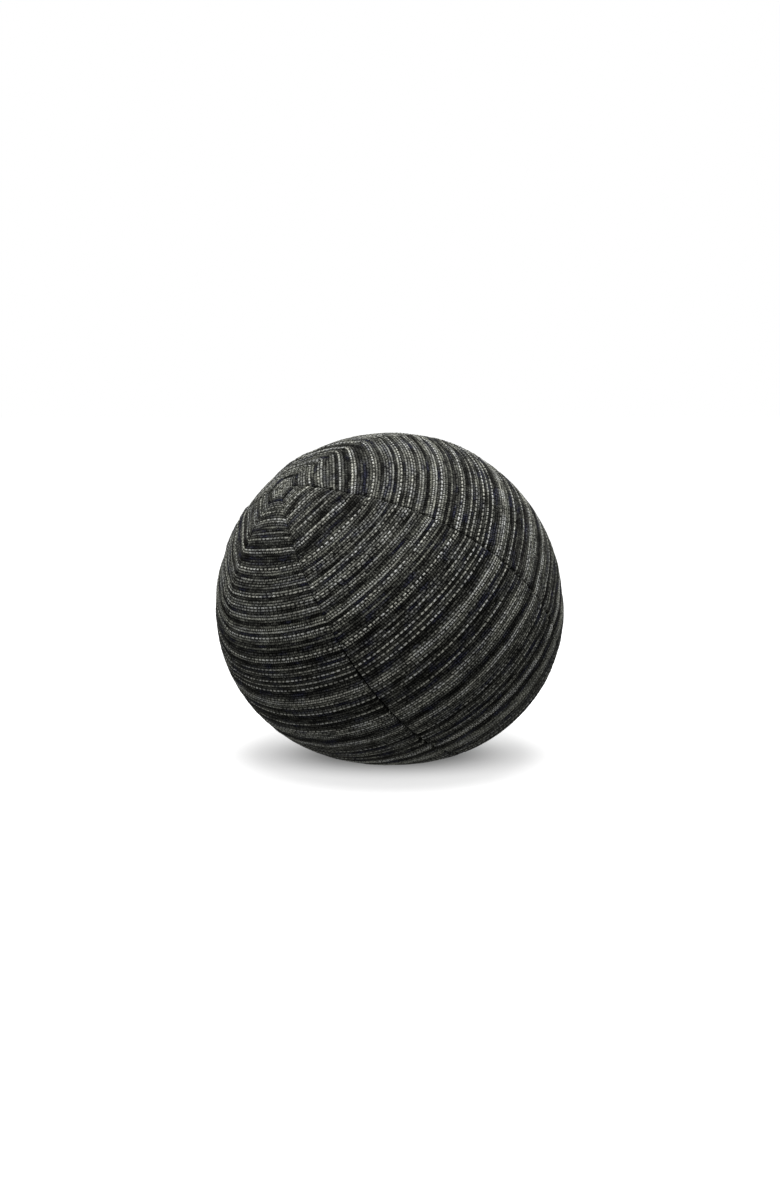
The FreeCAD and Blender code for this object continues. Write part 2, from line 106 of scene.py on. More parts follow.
def skin(direction):
    """Point and outward normal of the cushion's outline along each direction from the centre.

    The outline is the ball, with a flat patch at its foot and a tighter round shoulder between them.
    """
    drop = CENTRE_HEIGHT - SHOULDER_RADIUS
    patch = math.sqrt((BALL_RADIUS - SHOULDER_RADIUS) ** 2 - drop ** 2)
    down = -direction[..., 2]
    aside = np.hypot(direction[..., 0], direction[..., 1])
    angle = np.arctan2(aside, down)
    along = patch * aside + drop * down
    shoulder = along + np.sqrt(along ** 2 - patch ** 2 - drop ** 2 + SHOULDER_RADIUS ** 2)
    flat = CENTRE_HEIGHT / np.maximum(down, 0.2)
    on_patch = angle < math.atan2(patch, CENTRE_HEIGHT)
    on_shoulder = angle < math.atan2(patch, drop)
    reach = np.where(on_patch, flat, np.where(on_shoulder, shoulder, BALL_RADIUS))
    point = CENTRE + reach[..., None] * direction
    outward = direction[..., :2] / np.maximum(aside, 1e-9)[..., None]
    ring = np.concatenate([patch * outward, np.full(aside.shape + (1,), SHOULDER_RADIUS)], axis=-1)
    normal = np.where(on_shoulder[..., None], point - ring, direction)
    normal = np.where(on_patch[..., None], np.array([0.0, 0.0, -1.0]), normal)
    return point, unit(normal)


def ring_of_stripe(stripe, bow):
    """Radius in degrees and centre of the ring that a stripe follows, at this place across a gore.

    The stripes are straight across each gore where the gores meet, and bow less further away.
    """
    radius = stripe
    for _ in range(8):
        straight = (1.0 - math.cos(math.radians(HALF_GORE))) * radius
        bowed = STRIPE_BOW * np.sin(2.0 * np.radians(radius))
        radius = stripe + (straight + (bowed - straight) * smooth(radius, 12.0, 32.0)) * bow ** 2
    away = smooth(radius, 2.0, 30.0)[..., None]
    back = smooth(radius, 158.0, 176.0)[..., None]
    centre = TUCK_AXIS + away * (CLOTH_AXIS - TUCK_AXIS)
    return radius, unit(centre + back * (AXIS - centre))


# ---------------------------------------------------------------- the cloth's yarns, pick by pick

def weave_plan():
    """Yarn of every pick: light, ground tone, dash share and thickness.

    The tone runs from 0, black and navy, through charcoal to 1, olive grey. The cloth is woven in an
    irregular sequence: the ground bands give the wide stripes, the named picks the light and dashed
    yarns, both by their angle from the upper pole, and the picks between them vary at random.
    """
    rng = np.random.default_rng(7)
    position = (np.arange(PICKS) + 0.5) * 180.0 / PICKS
    light = rng.uniform(0.0, 0.16, PICKS)
    tone = np.clip(0.45 + rng.normal(0.0, 0.16, PICKS), 0.0, 1.0)
    dash = rng.uniform(0.0, 0.5, PICKS)
    thick = rng.uniform(0.75, 1.0, PICKS)
    for start in rng.permutation(PICKS)[:PICKS // 4]:
        light[start] = rng.uniform(0.2, 0.6)
        dash[start] = rng.uniform(0.4, 1.0)

    ground_bands = [
        (0.0, 4.6, 0.85), (4.6, 6.0, 0.2), (6.0, 8.2, 0.5), (8.4, 10.4, 0.8), (10.6, 12.0, 0.2),
        (16.9, 17.9, 0.15), (19.5, 20.9, 0.15), (23.1, 25.8, 0.15), (29.8, 30.7, 0.15), (34.0, 34.9, 0.10),
        (36.0, 36.9, 0.15), (40.0, 41.3, 0.12), (43.5, 44.9, 0.08), (45.0, 47.0, 0.85), (47.1, 47.9, 0.15),
        (49.0, 50.1, 0.8), (50.2, 51.4, 0.12), (52.2, 53.9, 0.05), (56.4, 57.7, 0.10), (58.7, 59.8, 0.12),
        (61.0, 61.9, 0.12), (63.2, 63.9, 0.10), (65.1, 65.9, 0.12), (66.9, 69.0, 0.0), (71.6, 73.2, 0.75),
        (73.4, 74.8, 0.08), (75.9, 78.7, 0.25), (79.8, 81.7, 0.0), (84.1, 86.9, 0.85), (87.1, 89.4, 0.0),
        (91.8, 93.0, 0.6), (93.0, 95.0, 0.35), (96.2, 97.7, 0.15), (100.2, 101.9, 0.10),
        (103.4, 105.3, 0.05), (108.4, 111.8, 0.0), (112.0, 117.0, 0.9), (117.9, 124.0, 0.25),
        (127.0, 130.0, 0.05), (134.0, 138.0, 0.85), (141.0, 143.5, 0.0), (149.0, 152.0, 0.8),
        (155.0, 158.0, 0.05), (163.0, 166.0, 0.8), (169.0, 172.0, 0.05), (176.5, 180.0, 0.9),
    ]
    for low, high, value in ground_bands:
        inside = (position >= low) & (position < high)
        tone[inside] = value
        light[inside] *= 0.35 if value < 0.3 else 1.0

    named_picks = [
        (0.5, 0.7, 0.1), (1.2, 0.75, 0.2), (2.0, 0.5, 0.3), (2.8, 0.7, 0.2), (4.0, 0.65, 0.4),
        (7.2, 0.3, 0.8), (9.6, 0.8, 0.9), (13.2, 0.6, 0.7), (16.2, 0.4, 0.5), (18.4, 0.5, 0.8),
        (21.4, 0.95, 0.7), (22.4, 0.75, 0.3), (27.5, 0.95, 1.0), (28.4, 0.4, 0.0), (31.1, 0.4, 0.5),
        (33.3, 0.4, 0.4), (35.5, 0.85, 0.9), (37.4, 0.4, 0.5), (39.2, 0.75, 0.8), (42.5, 0.5, 0.6),
        (45.5, 0.6, 0.0), (46.4, 0.55, 0.2), (48.5, 0.95, 0.9), (49.4, 0.4, 0.0), (54.8, 1.0, 1.0),
        (55.7, 0.45, 0.0), (58.1, 0.45, 0.8), (60.3, 0.5, 0.9), (62.6, 0.85, 1.0), (64.4, 0.5, 0.8),
        (66.4, 0.8, 0.9), (70.2, 0.85, 0.2), (71.1, 0.9, 0.5), (75.3, 0.7, 0.9), (79.2, 0.5, 0.8),
        (82.6, 0.75, 0.5), (83.4, 0.85, 0.7), (86.0, 0.35, 0.0), (90.2, 0.75, 0.3), (91.0, 0.8, 0.6),
        (95.6, 0.45, 0.9), (98.2, 0.45, 0.8), (99.6, 0.4, 0.7), (102.4, 0.35, 0.8), (106.0, 0.85, 0.3),
        (106.9, 1.0, 0.5), (107.7, 0.6, 0.1), (113.6, 0.45, 0.1), (115.2, 0.65, 0.3), (116.1, 0.45, 0.6),
        (121.5, 0.4, 0.8), (125.5, 0.7, 0.9), (132.0, 0.8, 0.4), (139.5, 0.9, 1.0), (145.8, 0.6, 0.8),
        (147.5, 0.85, 0.3), (153.5, 0.7, 1.0), (160.0, 0.9, 0.5), (167.5, 0.7, 0.9), (174.0, 0.8, 0.7),
    ]
    for place, strength, dashed in named_picks:
        pick = int(place / 180.0 * PICKS)
        light[pick] = strength
        dash[pick] = dashed
        thick[pick] = 1.0 + 0.25 * strength
        tone[pick] = max(tone[pick], 0.5)
    tone = 0.45 + 0.85 * (tone - 0.45)
    return light, tone, dash, thick


LIGHT, TONE, DASH, THICK = weave_plan()


# ---------------------------------------------------------------- node helpers

class Nodes:
    """Short calls for building a material's node tree."""

    def __init__(self, name):
        self.material = bpy.data.materials.new(name)
        self.material.use_nodes = True
        self.tree = self.material.node_tree
        self.tree.nodes.clear()

    def add(self, kind, **settings):
        node = self.tree.nodes.new("ShaderNode" + kind)
        for key, value in settings.items():
            setattr(node, key, value)
        return node

    def feed(self, socket, value):
        if hasattr(value, "is_output"):
            self.tree.links.new(value, socket)
        else:
            socket.default_value = value

    def math(self, operation, a, b=0.0, c=0.0, clamp=False):
        node = self.add("Math", operation=operation, use_clamp=clamp)
        for socket, value in zip(node.inputs, (a, b, c)):
            self.feed(socket, value)
        return node.outputs[0]

    def blend(self, factor, a, b):
        """Mix of two numbers."""
        node = self.add("Mix", data_type="FLOAT")
        for index, value in ((0, factor), (2, a), (3, b)):
            self.feed(node.inputs[index], value)
        return node.outputs[0]

    def colour(self, factor, a, b, how="MIX"):
        """Mix of two colours."""
        node = self.add("Mix", data_type="RGBA", blend_type=how)
        for index, value in ((0, factor), (6, a), (7, b)):
            self.feed(node.inputs[index], value)
        return node.outputs[2]

    def attribute(self, name):
        node = self.add("Attribute", attribute_name=name)
        return self.split(node.outputs["Vector"])

    def split(self, vector):
        node = self.add("SeparateXYZ")
        self.feed(node.inputs[0], vector)
        return node.outputs

    def join(self, x, y, z=0.0):
        node = self.add("CombineXYZ")
        for socket, value in zip(node.inputs, (x, y, z)):
            self.feed(socket, value)
        return node.outputs[0]

    def noise(self, vector, scale, detail=2.0, roughness=0.5):
        node = self.add("TexNoise", noise_dimensions="3D")
        self.feed(node.inputs["Vector"], vector)
        self.feed(node.inputs["Scale"], scale)
        self.feed(node.inputs["Detail"], detail)
        self.feed(node.inputs["Roughness"], roughness)
        return node.outputs["Fac"]

    def random(self, value):
        node = self.add("TexWhiteNoise", noise_dimensions="1D")
        self.feed(node.inputs["W"], value)
        return node.outputs["Value"]

    def wave(self, value, pitch, phase=0.0):
        """0 to 1 to 0 over each pitch of value."""
        turned = self.math("MULTIPLY_ADD", value, 2.0 * math.pi / pitch, phase)
        return self.math("MULTIPLY_ADD", self.math("COSINE", turned), 0.5, 0.5)

    def range(self, value, low, high, out_low=0.0, out_high=1.0):
        node = self.add("MapRange", interpolation_type="SMOOTHSTEP")
        for socket, number in zip(node.inputs, (value, low, high, out_low, out_high)):
            self.feed(socket, number)
        return node.outputs[0]

    def finish(self, colour, roughness, height=None, depth=0.0003, strength=1.0, **settings):
        """A Principled surface with this colour, roughness and bump."""
        shader = self.add("BsdfPrincipled")
        self.feed(shader.inputs["Base Color"], colour)
        self.feed(shader.inputs["Roughness"], roughness)
        for name, value in settings.items():
            self.feed(shader.inputs[name.replace("_", " ")], value)
        if height is not None:
            bump = self.add("Bump")
            self.feed(bump.inputs["Height"], height)
            self.feed(bump.inputs["Distance"], depth)
            self.feed(bump.inputs["Strength"], strength)
            self.tree.links.new(bump.outputs[0], shader.inputs["Normal"])
        output = self.add("OutputMaterial")
        self.tree.links.new(shader.outputs[0], output.inputs[0])
        return self.material


def tweed():
    """The cover's cloth: fuzzy weft yarns in stripes, light ones floating over the warp in dashes."""
    n = Nodes("striped_tweed")
    across, along, gore = n.attribute("cloth")
    light, tone, dash = n.attribute("yarn")
    pick = n.math("FLOOR", along)
    part = n.math("FRACT", along)
    yarn = n.math("POWER", n.math("SINE", n.math("MULTIPLY", part, math.pi)), 0.7)
    chance = n.random(n.math("MULTIPLY_ADD", gore, 300.0, pick))

    def patches(across_scale, lengthways, along_scale, scale=1.0, detail=2.0, roughness=0.5):
        """Noise over the cloth, stretched by these scales, different on every gore."""
        u = n.math("MULTIPLY", across, across_scale)
        v = n.math("MULTIPLY", lengthways, along_scale)
        return n.noise(n.join(u, v, gore), scale, detail, roughness)

    # the warp's ribs wander, and every light yarn floats in its own step
    wander = patches(0.12, along, 0.25)
    jitter = patches(0.5, along, 0.9)
    drift = n.math("MULTIPLY_ADD", jitter, 1.3, n.math("MULTIPLY_ADD", wander, 4.0, across))
    rib = n.wave(drift, BEAD_PITCH)
    parity = n.math("MULTIPLY", n.math("MODULO", pick, 2.0), math.pi)
    bead = n.range(n.wave(drift, BEAD_PITCH, parity), 0.05, 0.75)
    phase = n.math("MULTIPLY", chance, 2.0 * math.pi)
    dashes = n.range(n.wave(drift, DASH_PITCH, phase), 0.25, 0.6)
    pattern = n.blend(dash, bead, dashes)

    # slubs run along single yarns, specks are tufts of fibre, blotches are dyed unevenly
    slub = patches(0.07, pick, 1.37)
    tuft = patches(0.55, along, 1.1, roughness=0.6)
    fibre = patches(1.1, along, 2.6, scale=1.3, detail=3.0, roughness=0.7)
    blotch = patches(0.06, along, 0.22)

    uneven = n.math("MULTIPLY_ADD", n.math("SUBTRACT", slub, 0.5), 2.1, tone, clamp=True)
    black = n.colour(n.range(blotch, 0.5, 0.62), (0.0045, 0.0045, 0.0040, 1.0), (0.008, 0.0085, 0.016, 1.0))
    charcoal = n.colour(n.range(uneven, 0.0, 0.5), black, (0.030, 0.0305, 0.0265, 1.0))
    ground = n.colour(n.range(uneven, 0.45, 1.0), charcoal, (0.088, 0.090, 0.075, 1.0))
    speck = n.range(tuft, 0.33, 0.68, 0.22, 2.1)
    hairs = n.range(fibre, 0.36, 0.66, 0.3, 1.85)
    # painted shade: woven darkens the colour in the crevices between the weft yarns and between the warp's
    # ribs; shade multiplies this painted shade with the cloth's own specks and fibres
    woven = n.math("MULTIPLY", n.blend(rib, 0.4, 1.4), n.range(yarn, 0.1, 0.95, 0.2, 1.3))
    shade = n.math("MULTIPLY", n.math("MULTIPLY", speck, hairs), woven)
    shaded = n.colour(1.0, ground, n.join(shade, shade, shade), "MULTIPLY")

    worn = n.range(slub, 0.3, 0.6, 0.3, 1.2)
    broken = n.math("MULTIPLY", worn, n.range(tuft, 0.28, 0.5, 0.35, 1.0))
    crest = n.math("POWER", yarn, 3.0)
    showing = n.math("MULTIPLY", n.math("MULTIPLY", light, pattern), n.math("MULTIPLY", crest, broken))
    flecked = n.math("MULTIPLY", showing, n.range(fibre, 0.25, 0.6, 0.7, 1.35), clamp=True)
    cream = n.colour(n.range(blotch, 0.4, 0.6), (0.50, 0.50, 0.44, 1.0), (0.58, 0.59, 0.575, 1.0))
    colour = n.colour(flecked, shaded, cream)

    raised = n.math("MULTIPLY_ADD", n.math("MULTIPLY", pattern, light), 0.5, n.math("MULTIPLY", rib, 0.4))
    height = n.math("ADD", n.math("MULTIPLY_ADD", tuft, 0.6, raised), n.math("MULTIPLY", fibre, 0.5))
    roughness = n.range(fibre, 0.2, 0.8, 0.98, 0.84)
    return n.finish(colour, roughness, height, depth=0.0007, strength=1.0,
                    Sheen_Weight=0.01, Sheen_Roughness=0.5, Specular_IOR_Level=0.04)


# ---------------------------------------------------------------- mesh helpers

def make_mesh(name, points, faces, material):
    """A smooth-shaded object from lists of points and faces."""
    mesh = bpy.data.meshes.new(name)
    mesh.from_pydata(points, [], faces)
    mesh.validate()
    mesh.shade_smooth()
    mesh.materials.append(material)
    piece = bpy.data.objects.new(name, mesh)
    bpy.context.scene.collection.objects.link(piece)
    return piece


def tube_faces(rows, loop):
    """Quads round a closed tube of loops, with one many-sided face capping each end."""
    i, j = np.meshgrid(np.arange(rows - 1), np.arange(loop), indexing="ij")
    after = (j + 1) % loop
    quads = np.stack([i * loop + j, i * loop + after, (i + 1) * loop + after, (i + 1) * loop + j], axis=-1)
    caps = [list(range(loop))[::-1], list(range((rows - 1) * loop, rows * loop))]
    return quads.reshape(-1, 4).tolist() + caps


def set_attribute(piece, name, values):
    """Three numbers on every vertex, for the materials to read."""
    layer = piece.data.attributes.new(name, "FLOAT_VECTOR", "POINT")
    layer.data.foreach_set("vector", np.ascontiguousarray(values, dtype=np.float32).ravel())


def value_noise(shape, cells, rng):
    """Smooth noise over a grid, from -1 to 1, with this many cells along each side."""
    lattice = rng.uniform(-1.0, 1.0, (cells[0] + 2, cells[1] + 2))
    a = np.linspace(0, cells[0], shape[0], endpoint=False)
    b = np.linspace(0, cells[1], shape[1], endpoint=False)
    ia, ib = a.astype(int), b.astype(int)
    fa, fb = smooth(a - ia, 0, 1)[:, None], smooth(b - ib, 0, 1)[None, :]
    top = lattice[np.ix_(ia, ib)] * (1 - fb) + lattice[np.ix_(ia, ib + 1)] * fb
    low = lattice[np.ix_(ia + 1, ib)] * (1 - fb) + lattice[np.ix_(ia + 1, ib + 1)] * fb
    return top * (1 - fa) + low * fa


# ---------------------------------------------------------------- cover gores

SIM_ROWS, SIM_TURNS = 61, 96
SIM_FRAMES = 24
SIM_LIMIT = 0.6                        # millimetres of swelling kept from the simulation


def simulate_cover():
    """Blow up the six sewn gores as cloth, held at their seams, and return how far each point swells.

    The result is a grid over colatitude and turn, in millimetres, with its mean taken off.
    """
    colatitude, turn = np.meshgrid(
        np.linspace(1.5, 178.5, SIM_ROWS), np.arange(SIM_TURNS) * 360.0 / SIM_TURNS, indexing="ij")
    point, normal = skin(directions(colatitude, turn + ZIP_SEAM_TURN))
    mesh = bpy.data.meshes.new("cover_sim")
    mesh.from_pydata(point.reshape(-1, 3).tolist(), [], tube_faces(SIM_ROWS, SIM_TURNS))
    bag = bpy.data.objects.new("cover_sim", mesh)
    bpy.context.scene.collection.objects.link(bag)
    on_seam = np.broadcast_to(np.arange(SIM_TURNS) % (SIM_TURNS // GORES) == 0, colatitude.shape)
    at_end = (colatitude < 3.0) | (colatitude > 177.0)
    resting = point[..., 2] < 1.0 * MM
    held = np.flatnonzero((on_seam | at_end | resting).ravel())
    seams = bag.vertex_groups.new(name="held")
    seams.add(held.tolist(), 1.0, "REPLACE")
    cloth = bag.modifiers.new("cloth", "CLOTH")
    cloth.settings.quality = 6
    cloth.settings.mass = 0.15
    cloth.settings.tension_stiffness = 40.0
    cloth.settings.compression_stiffness = 40.0
    cloth.settings.shear_stiffness = 10.0
    cloth.settings.bending_stiffness = 2.0
    cloth.settings.use_pressure = True
    cloth.settings.uniform_pressure_force = 6.0
    cloth.settings.vertex_group_mass = "held"
    cloth.point_cache.frame_start = 1
    cloth.point_cache.frame_end = SIM_FRAMES
    for frame_number in range(1, SIM_FRAMES + 1):
        bpy.context.scene.frame_set(frame_number)
    blown = bag.evaluated_get(bpy.context.evaluated_depsgraph_get())
    shape = blown.to_mesh()
    settled = np.empty(3 * len(shape.vertices))
    shape.vertices.foreach_get("co", settled)
    blown.to_mesh_clear()
    bpy.data.objects.remove(bag)
    bpy.data.meshes.remove(mesh)
    bpy.context.scene.frame_set(1)
    rise = np.sum((settled.reshape(point.shape) - point) * normal, axis=-1) / MM
    return SIM_LIMIT * np.tanh((rise - rise.mean()) / SIM_LIMIT)


SWELLING = simulate_cover()


def swelling(colatitude, turn):
    """The simulated swelling at any colatitude and turn, in millimetres."""
    row = np.clip((colatitude - 1.5) / 177.0, 0.0, 0.9999) * (SIM_ROWS - 1)
    column = ((turn - ZIP_SEAM_TURN) % 360.0) / 360.0 * SIM_TURNS
    i, j = row.astype(int), column.astype(int)
    a, b = row - i, column - j
    i2, j2, j = np.minimum(i + 1, SIM_ROWS - 1), (j + 1) % SIM_TURNS, j % SIM_TURNS
    low = SWELLING[i, j] * (1 - b) + SWELLING[i, j2] * b
    return low * (1 - a) + (SWELLING[i2, j] * (1 - b) + SWELLING[i2, j2] * b) * a


OUTER_COLUMNS = 92                     # points across a gore's outer face
INNER_COLUMNS = 9                      # points across its inner face, counting its two edges
WALL_STEPS = (0.45, 0.7, 1.0)          # shares of the way down a folded edge


def solve_colatitude(stripe, turn, bow):
    """Colatitude at which each turn meets each stripe."""
    radius, centre = ring_of_stripe(stripe, bow)
    colatitude = radius
    for _ in range(20):
        reached = np.sum(directions(colatitude, turn) * centre, axis=-1)
        colatitude = colatitude + radius - np.degrees(np.arccos(np.clip(reached, -1.0, 1.0)))
        colatitude = np.clip(colatitude, 0.15, 179.85)
    return colatitude


def zip_share(colatitude):
    """1 along the zip's opening, 0 along the sewn ends of its seam."""
    first, last = ZIP_COLATITUDES
    return smooth(colatitude, first - 2.5, first - 0.6) * smooth(last + 1.0 - colatitude, 0.0, 2.5)


def seam_frame(colatitude, turn):
    """Points on a seam, their outward directions within its plane, and the directions across it."""
    base, out = skin(directions(colatitude, turn))
    side = unit(directions(colatitude, turn + 0.1) - directions(colatitude, turn - 0.1))
    out = unit(out - np.sum(out * side, axis=-1, keepdims=True) * side)
    return base, out, side


def edge_gap(colatitude, is_zip):
    """Half the gap between a seam's edges, wide along the zip and slack just above it."""
    if not is_zip:
        return SEAM_HALF_GAP
    slack = 0.4 * smooth(colatitude, ZIP_COLATITUDES[0] - 12.0, ZIP_COLATITUDES[0] - 4.0)
    return SEAM_HALF_GAP + (ZIP_HALF_GAP - SEAM_HALF_GAP) * np.maximum(slack, zip_share(colatitude))


def build_cover_gore(index, material):
    """One gore: its outer face with every weft yarn in relief, its two folded edges and its inner face."""
    rng = np.random.default_rng(100 + index)
    rows = PICKS * ROWS_PER_PICK + 1
    along = np.linspace(0.0, PICKS, rows)
    stripe = np.clip(along * 180.0 / PICKS, 0.4, 179.6)
    first_turn = ZIP_SEAM_TURN + 2.0 * HALF_GORE * index

    # the columns stand closer together towards the seams
    s = np.linspace(-1.0, 1.0, OUTER_COLUMNS)
    bow = 0.72 * s + 0.28 * np.sin(0.5 * np.pi * s)
    grid_stripe, grid_bow = np.meshgrid(stripe, bow, indexing="ij")

    # the stripes of the gores on both sides of the zip miss each other by a degree or so
    shift = np.zeros_like(grid_stripe)
    if index == GORES - 1:
        shift = -0.6 * smooth(grid_stripe, 55.0, 65.0)
    if index == 0:
        shift = 0.3 * smooth(grid_stripe, 20.0, 50.0)
    turn = first_turn + HALF_GORE * (1.0 + grid_bow)
    colatitude = solve_colatitude(grid_stripe + shift, turn, grid_bow)

    # keep the edges their half gap from the seam planes
    ring = BALL_RADIUS * np.sin(np.radians(colatitude))
    left_gap = edge_gap(colatitude, index == 0)
    right_gap = edge_gap(colatitude, index == GORES - 1)
    left_limit = np.degrees(np.arcsin(np.clip(left_gap / ring, 0.0, 0.45)))
    right_limit = np.degrees(np.arcsin(np.clip(right_gap / ring, 0.0, 0.45)))
    inside = 2.0 * HALF_GORE * 0.5 * (1.0 + grid_bow)
    inside = left_limit + inside / (2.0 * HALF_GORE) * (2.0 * HALF_GORE - left_limit - right_limit)
    turn = first_turn + inside
    point, normal = skin(directions(colatitude, turn))

    from_left = ring * np.sin(np.radians(np.minimum(inside, 90.0)))
    from_right = ring * np.sin(np.radians(np.minimum(2.0 * HALF_GORE - inside, 90.0)))
    slack = smooth(colatitude, ZIP_COLATITUDES[0] - 12.0, ZIP_COLATITUDES[0] - 6.0)
    zipped_left = slack if index == 0 else 0.0
    zipped_right = slack if index == GORES - 1 else 0.0

    # the cloth dips to each seam in a narrow crevice within a wide, puckered valley
    pucker = 0.15 * np.sin(colatitude * 2.1 + index) + 0.12 * value_noise(grid_stripe.shape, (150, 2), rng)
    valley = (
        (0.7 + 0.7 * zipped_left + pucker) * np.exp(-(from_left / (0.9 * MM)) ** 2)
        + (0.7 + 0.7 * zipped_right + pucker) * np.exp(-(from_right / (0.9 * MM)) ** 2)
        + (0.2 + pucker) * np.exp(-(from_left / (4.0 * MM)) ** 2)
        + (0.2 + pucker) * np.exp(-(from_right / (4.0 * MM)) ** 2)
    ) * (0.3 + 0.7 * smooth(ring, 4.0 * MM, 30.0 * MM))
    if index in (0, GORES - 1):
        from_zip = from_left if index == 0 else from_right
        under_tab = smooth(colatitude, 157.0, 160.5) * smooth(171.0 - colatitude, 0.0, 3.0)
        valley = valley + 0.8 * under_tab * np.exp(-(from_zip / (4.0 * MM)) ** 4)
    dimple = 0.4 * np.exp(-(ring / (2.5 * MM)) ** 2)

    # every weft yarn is a ridge, beaded where a light yarn floats over the warp
    pick = np.minimum(along.astype(int), PICKS - 1)
    part = along - pick
    across = ring * np.radians(inside - HALF_GORE) / MM
    profile = np.abs(np.sin(math.pi * part))[:, None]
    phase = rng.uniform(0.0, 2.0 * math.pi, PICKS)[pick][:, None]
    float_wave = 0.5 + 0.5 * np.cos(2.0 * math.pi * across / DASH_PITCH + phase)
    yarn = THICK[pick][:, None] * (0.5 + 0.1 * value_noise(grid_stripe.shape, (PICKS, 24), rng))
    yarn = yarn + 0.16 * (LIGHT * DASH)[pick][:, None] * float_wave
    fuzz = 0.05 * rng.uniform(-1.0, 1.0, grid_stripe.shape)
    swell = swelling(colatitude, turn) + 0.12 * value_noise(grid_stripe.shape, (14, 4), rng)
    lift = (yarn * profile - 0.1 + fuzz + swell - valley - dimple) * MM

    # beside a seam the cloth is lifted within the seam's plane
    left_seam = seam_frame(colatitude[:, 0], first_turn)
    right_seam = seam_frame(colatitude[:, -1], first_turn + 2.0 * HALF_GORE)
    for (_, _, side), away in ((left_seam, from_left), (right_seam, from_right)):
        tilt = np.sum(normal * side[:, None, :], axis=-1) * np.exp(-(away / (2.0 * MM)) ** 2)
        normal = normal - tilt[..., None] * side[:, None, :]
    outer = point + lift[..., None] * normal
    outer[..., 2] = np.maximum(outer[..., 2], 0.0)

    # folded edges pressed together down the seam planes, and the inner face behind them
    def wall(column, seam, way, is_zip):
        base, out, side = seam
        zipped = zip_share(colatitude[:, column]) if is_zip else np.zeros(rows)
        gap = SEWN_HALF_GAP + (ZIP_HALF_GAP - SEWN_HALF_GAP) * zipped
        top = -lift[:, column]
        steps = [top + (FOLD_DEPTH - top) * share for share in WALL_STEPS]
        edge = base + way * gap[:, None] * side
        return [(edge - depth[:, None] * out)[:, None, :] for depth in steps]

    right_wall = wall(-1, right_seam, -1.0, index == GORES - 1)
    left_wall = wall(0, left_seam, 1.0, index == 0)
    columns = np.linspace(OUTER_COLUMNS - 1, 0, INNER_COLUMNS).astype(int)[1:-1]
    inner = point[:, columns] - FOLD_DEPTH * normal[:, columns]
    loops = np.concatenate([outer, *right_wall, inner, *reversed(left_wall)], axis=1)
    loop = loops.shape[1]
    points = loops.reshape(-1, 3).tolist()
    piece = make_mesh(f"gore_{index + 1}_cloth", points, tube_faces(rows, loop), material)

    def spread(grid):
        """Values of the outer face, repeated over the walls and the inner face behind it."""
        right = np.repeat(grid[:, -1:], len(WALL_STEPS), axis=1)
        left = np.repeat(grid[:, :1], len(WALL_STEPS), axis=1)
        return np.concatenate([grid, right, grid[:, columns], left], axis=1).ravel()

    cloth_along = np.broadcast_to(along[:, None], grid_stripe.shape)
    gore = np.full(rows * loop, float(index))
    set_attribute(piece, "cloth", np.stack([spread(across), spread(cloth_along), gore], axis=-1))
    yarns = [np.broadcast_to(plan[pick][:, None], grid_stripe.shape) for plan in (LIGHT, TONE, DASH)]
    set_attribute(piece, "yarn", np.stack([spread(plan) for plan in yarns], axis=-1))
    node = f"cover_gore_{index + 1}"
    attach(piece, "cushion")
    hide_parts(node)


# ---------------------------------------------------------------- materials of the hidden pieces

def plain_cloth(name, warp, weft, thread, tone_low, tone_high):
    """A plain-woven cloth from millimetres across and along it, its threads this far apart."""
    n = Nodes(name)
    across, along, _ = n.attribute("cloth")
    over = n.math("MULTIPLY", n.wave(across, thread), n.wave(along, thread, math.pi))
    under = n.math("MULTIPLY", n.wave(across, thread, math.pi), n.wave(along, thread))
    weave = n.math("ADD", over, under)
    mottle = n.noise(n.join(n.math("MULTIPLY", across, 0.2), n.math("MULTIPLY", along, 0.2)), 1.0, 3.0)
    base = n.colour(n.range(mottle, 0.3, 0.7), warp, weft)
    shade = n.range(weave, 0.0, 1.0, tone_low, tone_high)
    colour = n.colour(1.0, base, n.join(shade, shade, shade), "MULTIPLY")
    return n.finish(colour, n.range(mottle, 0.2, 0.8, 0.75, 0.9), weave, depth=0.0001, Specular_IOR_Level=0.2)


def twisted_thread(name, dark, light):
    """Two plies twisted together, from the turn round the thread and millimetres along it."""
    n = Nodes(name)
    around, along, _ = n.attribute("cloth")
    ply = n.wave(n.math("MULTIPLY_ADD", along, 6.0, around), math.pi)
    hair = n.noise(n.join(around, n.math("MULTIPLY", along, 5.0)), 3.0, 3.0)
    colour = n.colour(n.math("MULTIPLY", ply, hair), dark, light)
    return n.finish(colour, n.range(hair, 0.2, 0.8, 0.6, 0.8), ply, depth=0.00008, Specular_IOR_Level=0.3)


def herringbone_tape():
    """Black zip tape, woven in a herringbone along its length."""
    n = Nodes("herringbone_tape")
    across, along, _ = n.attribute("cloth")
    zigzag = n.math("PINGPONG", across, 2.0)
    twill = n.wave(n.math("MULTIPLY_ADD", along, 1.4, zigzag), 0.9)
    fibre = n.noise(n.join(across, n.math("MULTIPLY", along, 2.0)), 4.0, 3.0)
    black, grey = (0.008, 0.008, 0.009, 1.0), (0.050, 0.050, 0.052, 1.0)
    colour = n.colour(n.math("MULTIPLY", twill, fibre), black, grey)
    roughness = n.range(fibre, 0.2, 0.8, 0.7, 0.85)
    return n.finish(colour, roughness, twill, depth=0.00012, Specular_IOR_Level=0.2)


def fibre_wool():
    """White polyester wool, in tangled tufts."""
    n = Nodes("fibre_wool")
    place = n.add("TexCoord").outputs["Object"]
    tuft = n.noise(place, 90.0, 4.0, 0.7)
    strand = n.noise(place, 900.0, 3.0, 0.7)
    colour = n.colour(n.range(tuft, 0.3, 0.7), (0.62, 0.62, 0.60, 1.0), (0.86, 0.86, 0.84, 1.0))
    roughness = n.range(strand, 0.2, 0.8, 0.85, 1.0)
    return n.finish(colour, roughness, strand, depth=0.0006, Specular_IOR_Level=0.1)


